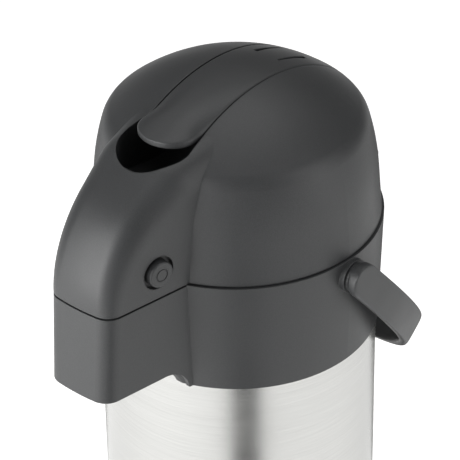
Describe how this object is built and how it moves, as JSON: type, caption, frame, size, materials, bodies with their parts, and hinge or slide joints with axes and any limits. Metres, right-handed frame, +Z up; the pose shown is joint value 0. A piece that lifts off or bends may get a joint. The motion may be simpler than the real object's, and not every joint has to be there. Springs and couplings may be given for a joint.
{
  "type": "thermal coffee airpot",
  "caption": "Pump airpot: brushed steel vacuum flask on a turntable foot, hinged domed lid with a press lever and beak spout, and a bail handle.",
  "frame": {"origin": "centre of the foot's underside, on the body's axis", "axes": "+Z up along the body; -Y towards the spout beak; +X to the right when the beak faces away from the viewer"},
  "size_m": [0.177, 0.2277, 0.37],
  "materials": {
    "abs_black": "fine textured moulded ABS",
    "pp_inner": "moulded polypropylene",
    "brushed_shell": "circumferentially brushed stainless steel",
    "flask_steel": "drawn stainless steel",
    "steel_hardware": "turned steel",
    "spring_steel": "spring wire",
    "silicone": "moulded silicone",
    "rubber_pad": "matte rubber"
  },
  "bodies": {
    "flask": {"base_cup": "abs_black", "outer_shell": "brushed_shell", "shell_bottom": "flask_steel", "vacuum_seal": "flask_steel", "inner_flask": "flask_steel", "inner_neck": "flask_steel", "collar": "abs_black", "mouth_gasket": "silicone", "tube_holder": "pp_inner", "check_ball": "steel_hardware", "dip_tube": "flask_steel", "outlet_pipe": "pp_inner", "spout_nozzle": "abs_black", "neck_ring": "pp_inner", "swivel_bush": "pp_inner", "swivel_washer": "steel_hardware", "swivel_screw": "steel_hardware", "lid_hinge_pin": "steel_hardware"},
    "lid": {"lid_shell": "abs_black", "lid_base": "pp_inner", "lid_screws": "steel_hardware", "lid_gasket": "silicone", "air_valve": "silicone", "bellows_clamp": "pp_inner", "bellows": "silicone", "pump_spring": "spring_steel", "lever_pin": "steel_hardware", "latch_spring_right": "spring_steel", "latch_spring_left": "spring_steel"},
    "pump": {"pump_plate": "pp_inner"},
    "lever": {"lever": "abs_black"},
    "latch_right": {"latch_button_right": "abs_black"},
    "latch_left": {"latch_button_left": "abs_black"},
    "handle": {"handle": "abs_black", "handle_screws": "steel_hardware"},
    "foot": {"foot_disc": "abs_black", "foot_pad": "rubber_pad"}
  },
  "joints": [
    {"name": "lid_hinge", "type": "hinge", "parent": "flask", "child": "lid", "pos_m": [0, 0.084, 0.2863], "axis": [-1, 0, 0], "range_deg": [0, 85]},
    {"name": "lever_press", "type": "hinge", "parent": "lid", "child": "lever", "pos_m": [0, 0.064, 0.331], "axis": [1, 0, 0], "range_deg": [0, 9], "stiffness_Nm_per_rad": 8, "springref_deg": -3.44},
    {"name": "pump_stroke", "type": "slide", "parent": "lid", "child": "pump", "axis": [0, 0, -1], "range_m": [0, 0.0105], "deforming": ["bellows", "pump_spring"]},
    {"name": "latch_right_press", "type": "slide", "parent": "lid", "child": "latch_right", "axis": [-0.9867, 0.1626, 0], "range_m": [0, 0.003], "stiffness_N_per_m": 300, "springref_m": -0.004, "deforming": ["latch_spring_right"]},
    {"name": "latch_left_press", "type": "slide", "parent": "lid", "child": "latch_left", "axis": [0.9867, 0.1626, 0], "range_m": [0, 0.003], "stiffness_N_per_m": 300, "springref_m": -0.004, "deforming": ["latch_spring_left"]},
    {"name": "handle_swing", "type": "hinge", "parent": "flask", "child": "handle", "pos_m": [0, 0, 0.2756], "axis": [1, 0, 0], "range_deg": [0, 138.85]},
    {"name": "foot_swivel", "type": "hinge", "parent": "flask", "child": "foot", "pos_m": [0, 0, 0.011], "axis": [0, 0, 1], "continuous": true}
  ],
  "couplings": [
    {"joint": "pump_stroke", "follows": "lever_press", "m_per_rad": 0.064}
  ]
}
